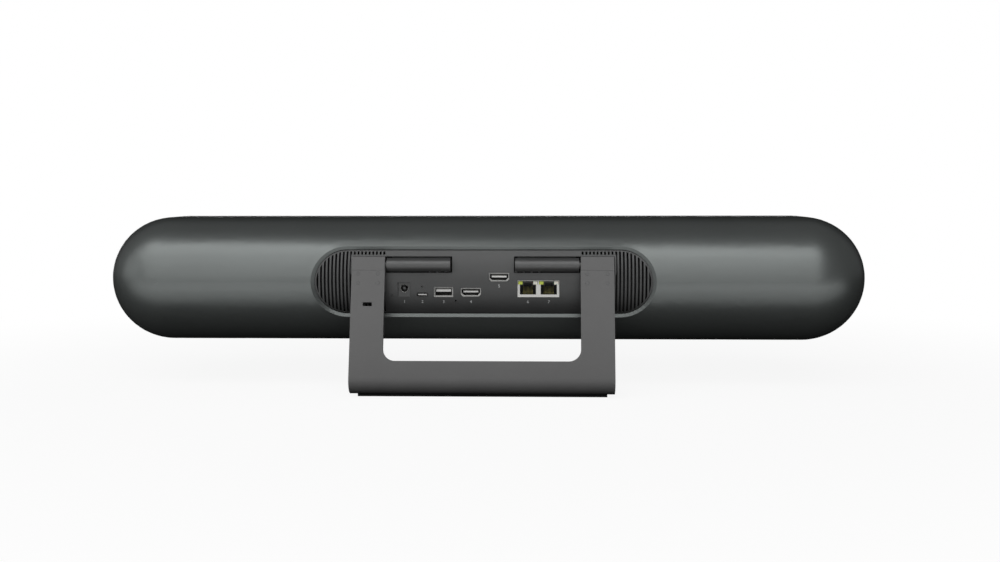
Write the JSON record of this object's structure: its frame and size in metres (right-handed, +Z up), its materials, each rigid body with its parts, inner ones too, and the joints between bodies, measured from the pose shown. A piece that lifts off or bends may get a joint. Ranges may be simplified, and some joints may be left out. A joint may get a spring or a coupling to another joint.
{
  "type": "conference camera",
  "caption": "Video-conference bar: a pill-shaped housing with a rounded back, a recessed connector panel and a camera, loudspeakers and microphones in front, tilting on a bent metal stand.",
  "frame": {"origin": "on the table, under the middle of the whole object's box: the foot's underside is z = 0", "axes": "+Z up; +Y towards the back, where the connector panel and the stand's legs are; the camera looks along -Y; +X is the object's own left"},
  "size_m": [0.6, 0.1154, 0.1342],
  "materials": {
    "stand_paint": "fine matt powder coat",
    "foot_rubber": "matt",
    "hinge_paint": "satin metallic paint",
    "steel": "phosphated, dark",
    "black_screw": "black oxide",
    "shell_paint": "satin metallic paint",
    "panel_plastic": "satin metallic paint, darker",
    "black_plastic": "matt",
    "chassis_metal": "black coated sheet",
    "frame_paint": "satin metallic paint",
    "grille_metal": "fine matt powder coat",
    "gloss_black": "polished",
    "clear_glass": "polished, coated",
    "board_green": "solder mask",
    "ribbon_film": "film",
    "light_guide": "milky",
    "basket_paint": "black paint",
    "magnet": "plated",
    "surround_rubber": "matt",
    "cone_pulp": "pressed pulp",
    "chip": "moulded",
    "sink_metal": "extruded",
    "port_steel": "plated",
    "white_plastic": "moulded",
    "tongue_plastic": "moulded",
    "dark_steel": "blackened",
    "light_yellow": "milky"
  },
  "bodies": {
    "stand": {"stand_plate": "stand_paint", "rubber_foot": "foot_rubber", "hinge_leaf_left": "stand_paint", "hinge_leaf_right": "stand_paint", "leaf_rivets": "hinge_paint", "hinge_shaft_left": "steel", "hinge_shaft_right": "steel", "friction_washers": "steel", "shaft_nuts": "steel"},
    "camera": {"rear_shell": "shell_paint", "connector_panel": "panel_plastic", "hinge_bracket_left": "hinge_paint", "hinge_bracket_right": "hinge_paint", "barrel_caps": "black_plastic", "bracket_screws": "black_screw", "chassis": "chassis_metal", "chassis_screws": "black_screw", "panel_screws": "black_screw", "front_frame": "frame_paint", "front_baffle": "black_plastic", "baffle_screws": "black_screw", "front_grille": "grille_metal", "camera_bezel": "gloss_black", "cover_glass": "clear_glass", "lens_barrel": "black_plastic", "front_lens": "clear_glass", "rear_lens": "clear_glass", "lens_holder": "chassis_metal", "sensor_board": "board_green", "image_sensor": "chip", "camera_ribbon": "ribbon_film", "status_light": "light_guide", "microphone_board": "board_green", "speaker_box_left": "black_plastic", "speaker_box_right": "black_plastic", "speaker_frame_left": "basket_paint", "speaker_frame_right": "basket_paint", "speaker_magnet_left": "magnet", "speaker_magnet_right": "magnet", "speaker_surround_left": "surround_rubber", "speaker_surround_right": "surround_rubber", "speaker_screws": "black_screw", "main_board": "board_green", "board_screws": "steel", "processor": "chip", "heat_sink": "sink_metal", "antennas": "board_green", "power_jack": "panel_plastic", "oval_port": "dark_steel", "flat_port": "port_steel", "video_port_1": "port_steel", "video_port_2": "port_steel", "port_tongues": "tongue_plastic", "network_cage": "port_steel", "network_inserts": "black_plastic", "network_lights": "light_yellow", "reset_switch": "black_plastic"},
    "reset_button": {"reset_button": "white_plastic"},
    "cone_left": {"speaker_cone_left": "cone_pulp"},
    "cone_right": {"speaker_cone_right": "cone_pulp"}
  },
  "joints": [
    {"name": "tilt", "type": "hinge", "parent": "stand", "child": "camera", "pos_m": [0, 0.02884, 0.0987], "axis": [1, 0, 0], "range_deg": [-20, 12]},
    {"name": "reset_press", "type": "slide", "parent": "camera", "child": "reset_button", "axis": [0, -1, 0], "range_m": [0, 0.0008], "stiffness_N_per_m": 500, "springref_m": -0.0008},
    {"name": "cone_left_stroke", "type": "slide", "parent": "camera", "child": "cone_left", "axis": [0, -1, 0], "range_m": [-0.0015, 0.0015], "stiffness_N_per_m": 1500},
    {"name": "cone_right_stroke", "type": "slide", "parent": "camera", "child": "cone_right", "axis": [0, -1, 0], "range_m": [-0.0015, 0.0015], "stiffness_N_per_m": 1500}
  ]
}
